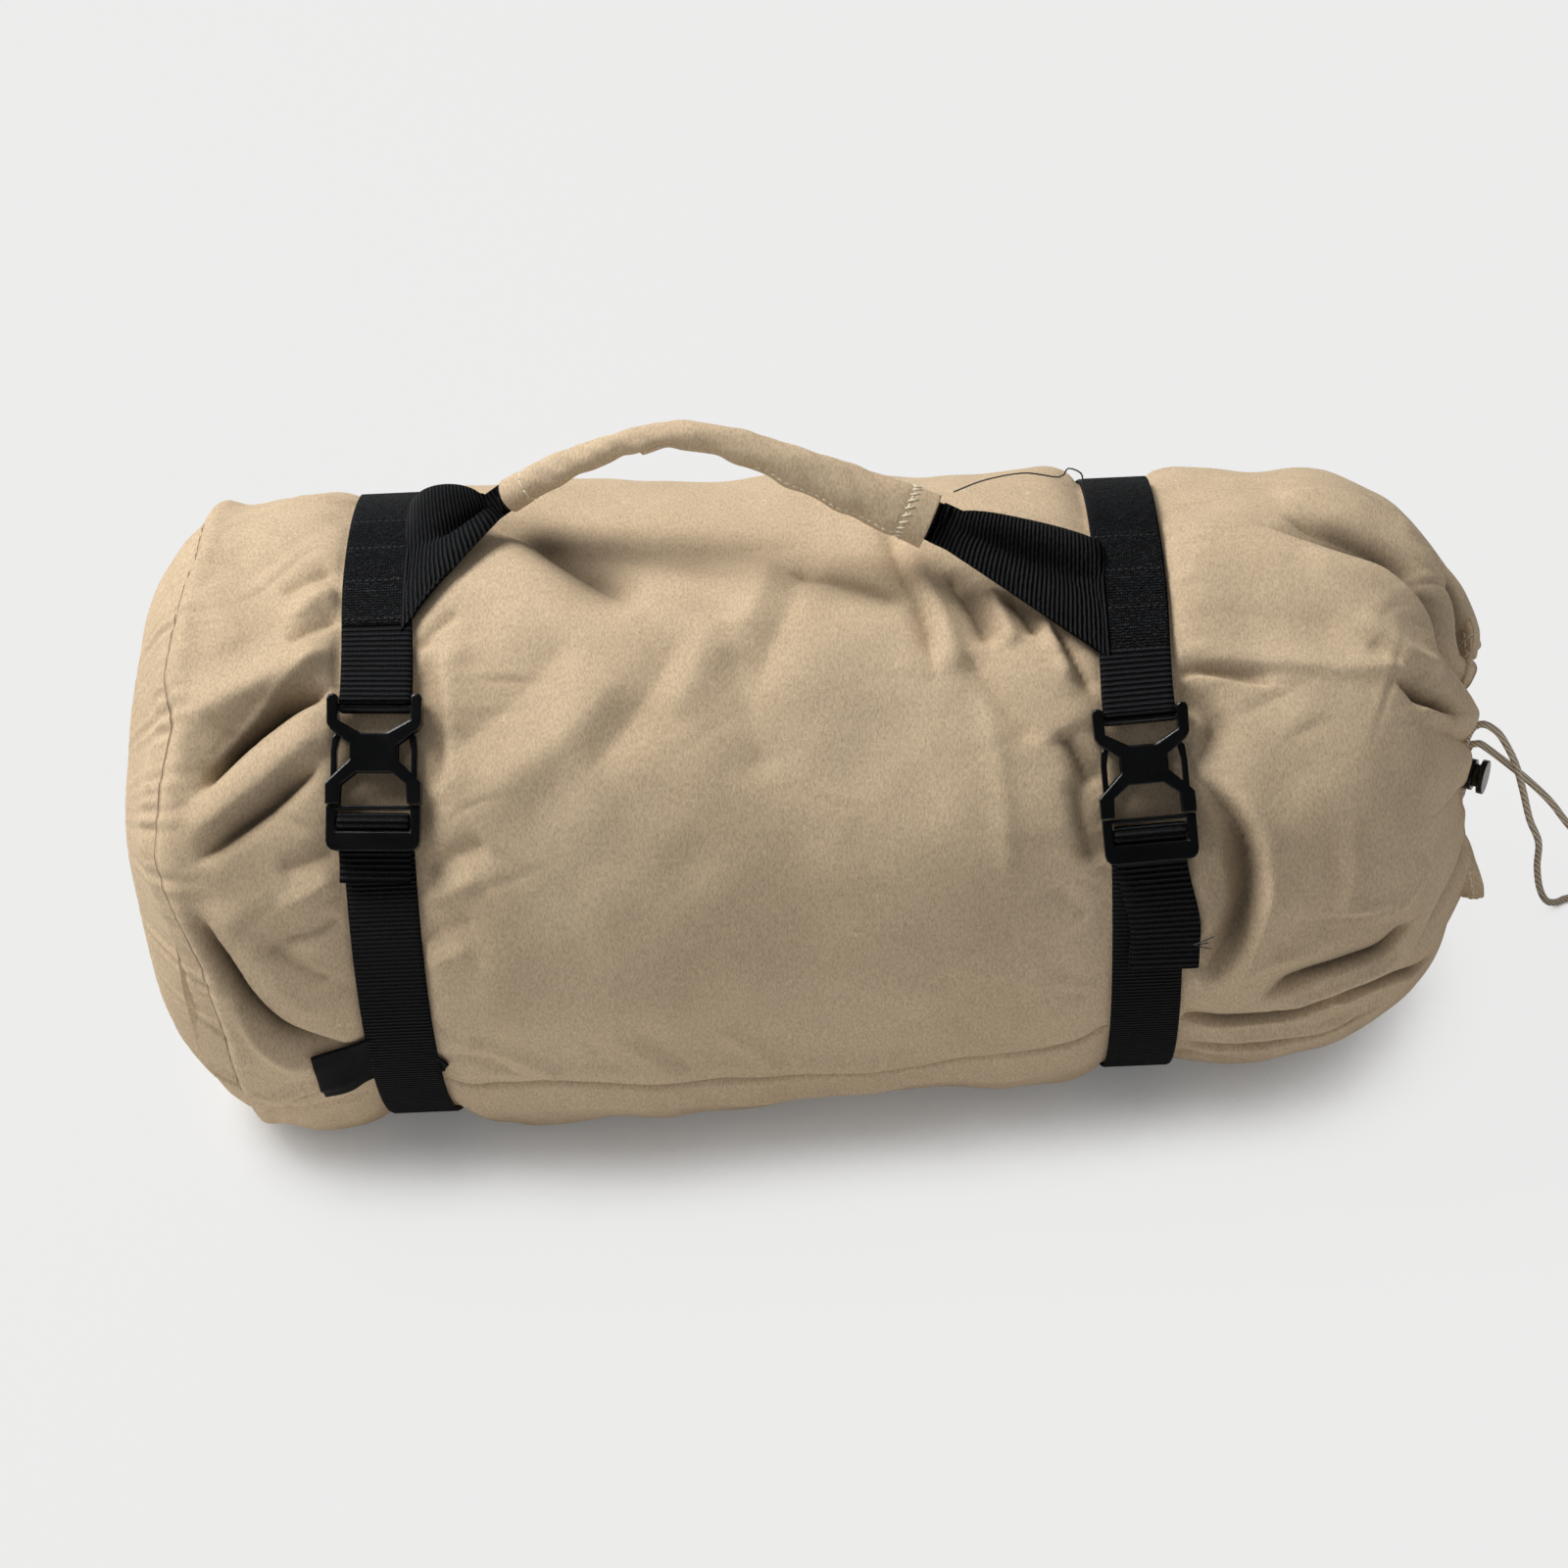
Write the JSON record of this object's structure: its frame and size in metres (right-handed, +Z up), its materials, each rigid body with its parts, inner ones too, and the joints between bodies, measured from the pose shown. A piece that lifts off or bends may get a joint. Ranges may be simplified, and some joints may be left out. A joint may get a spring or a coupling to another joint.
{
  "type": "packed hexagonal tarp",
  "caption": "Canvas hexagonal tarp rolled up in its cylindrical drawstring carry bag, with webbing straps, side-release buckles and a carry handle.",
  "frame": {"origin": "centre of the bag's length and width, on the surface it lies on", "axes": "+X along the bag to its gathered mouth, -Y the side with the buckles, +Z up through the carry handle"},
  "size_m": [0.6193, 0.2416, 0.2803],
  "materials": {
    "canvas": "matte brushed cotton twill, sand coloured",
    "webbing": "ribbed black webbing",
    "buckle_plastic": "black moulded plastic, lightly polished",
    "label_weave": "black woven satin",
    "cord_braid": "tan braided cord",
    "spring_steel": "bright wire",
    "tarp_cloth": "matte cotton canvas, sand coloured",
    "guyline_braid": "brown braided line"
  },
  "bodies": {
    "bag": {"bag_end_panel": "canvas", "bag_label": "label_weave", "bag_shell": "canvas", "buckle_left_socket": "buckle_plastic", "buckle_right_socket": "buckle_plastic", "drawcord_in_hem": "cord_braid", "drawcord_knot": "cord_braid", "drawcord_strand_a": "cord_braid", "drawcord_strand_b": "cord_braid", "guyline_hank_1": "guyline_braid", "guyline_hank_2": "guyline_braid", "guyline_hank_3": "guyline_braid", "guyline_hank_4": "guyline_braid", "guyline_hank_5": "guyline_braid", "guyline_hank_6": "guyline_braid", "guyline_runner_1": "buckle_plastic", "guyline_runner_2": "buckle_plastic", "guyline_runner_3": "buckle_plastic", "guyline_runner_4": "buckle_plastic", "guyline_runner_5": "buckle_plastic", "guyline_runner_6": "buckle_plastic", "handle_anchor_left": "webbing", "handle_anchor_right": "webbing", "mouth_hem": "canvas", "strap_left_band": "webbing", "strap_left_socket_webbing": "webbing", "strap_right_band": "webbing", "strap_right_socket_webbing": "webbing", "tarp_corner_loop_1": "webbing", "tarp_corner_loop_2": "webbing", "tarp_corner_loop_3": "webbing", "tarp_corner_loop_4": "webbing", "tarp_corner_loop_5": "webbing", "tarp_corner_loop_6": "webbing", "tarp_roll": "tarp_cloth"},
    "left_plug": {"buckle_left_plug": "buckle_plastic", "strap_left_adjuster_webbing": "webbing"},
    "left_prong_mouth_side": {"buckle_left_prong_mouth_side": "buckle_plastic"},
    "left_prong_closed_side": {"buckle_left_prong_closed_side": "buckle_plastic"},
    "right_plug": {"buckle_right_plug": "buckle_plastic", "strap_right_adjuster_webbing": "webbing"},
    "right_prong_mouth_side": {"buckle_right_prong_mouth_side": "buckle_plastic"},
    "right_prong_closed_side": {"buckle_right_prong_closed_side": "buckle_plastic"},
    "cord_lock": {"cord_lock_barrel": "buckle_plastic", "cord_lock_spring": "spring_steel"},
    "lock_plunger": {"cord_lock_plunger": "buckle_plastic"},
    "handle": {"handle_sleeve": "canvas", "handle_webbing": "webbing"}
  },
  "joints": [
    {"name": "handle_swing", "type": "hinge", "parent": "bag", "child": "handle", "pos_m": [-0.1087, 0.0111, 0.2391], "axis": [0.9755, -0.2168, 0.0374], "range_deg": [-95, 95]},
    {"name": "left_release", "type": "slide", "parent": "bag", "child": "left_plug", "axis": [-0.0471, -0.71, -0.7026], "range_m": [0, 0.022]},
    {"name": "left_squeeze_mouth_side", "type": "hinge", "parent": "left_plug", "child": "left_prong_mouth_side", "pos_m": [-0.13922, -0.09316, 0.18594], "axis": [0, -0.7034, 0.7108], "range_deg": [0, 6], "stiffness_Nm_per_rad": 0.05},
    {"name": "left_squeeze_closed_side", "type": "hinge", "parent": "left_plug", "child": "left_prong_closed_side", "pos_m": [-0.16699, -0.09223, 0.18686], "axis": [0, 0.7034, -0.7108], "range_deg": [0, 6], "stiffness_Nm_per_rad": 0.05},
    {"name": "right_release", "type": "slide", "parent": "bag", "child": "right_plug", "axis": [0.0488, -0.6122, -0.7892], "range_m": [0, 0.022]},
    {"name": "right_squeeze_mouth_side", "type": "hinge", "parent": "right_plug", "child": "right_prong_mouth_side", "pos_m": [0.13141, -0.09673, 0.17031], "axis": [0, -0.7902, 0.6129], "range_deg": [0, 6], "stiffness_Nm_per_rad": 0.05},
    {"name": "right_squeeze_closed_side", "type": "hinge", "parent": "right_plug", "child": "right_prong_closed_side", "pos_m": [0.10364, -0.09757, 0.16923], "axis": [0, 0.7902, -0.6129], "range_deg": [0, 6], "stiffness_Nm_per_rad": 0.05},
    {"name": "cord_lock_slide", "type": "slide", "parent": "bag", "child": "cord_lock", "axis": [0, 0, 1], "range_m": [-0.0025, 0.0015]},
    {"name": "cord_lock_press", "type": "slide", "parent": "cord_lock", "child": "lock_plunger", "axis": [-0.9063, 0.4226, 0], "range_m": [0, 0.002], "stiffness_N_per_m": 400, "deforming": ["cord_lock_spring"]}
  ]
}
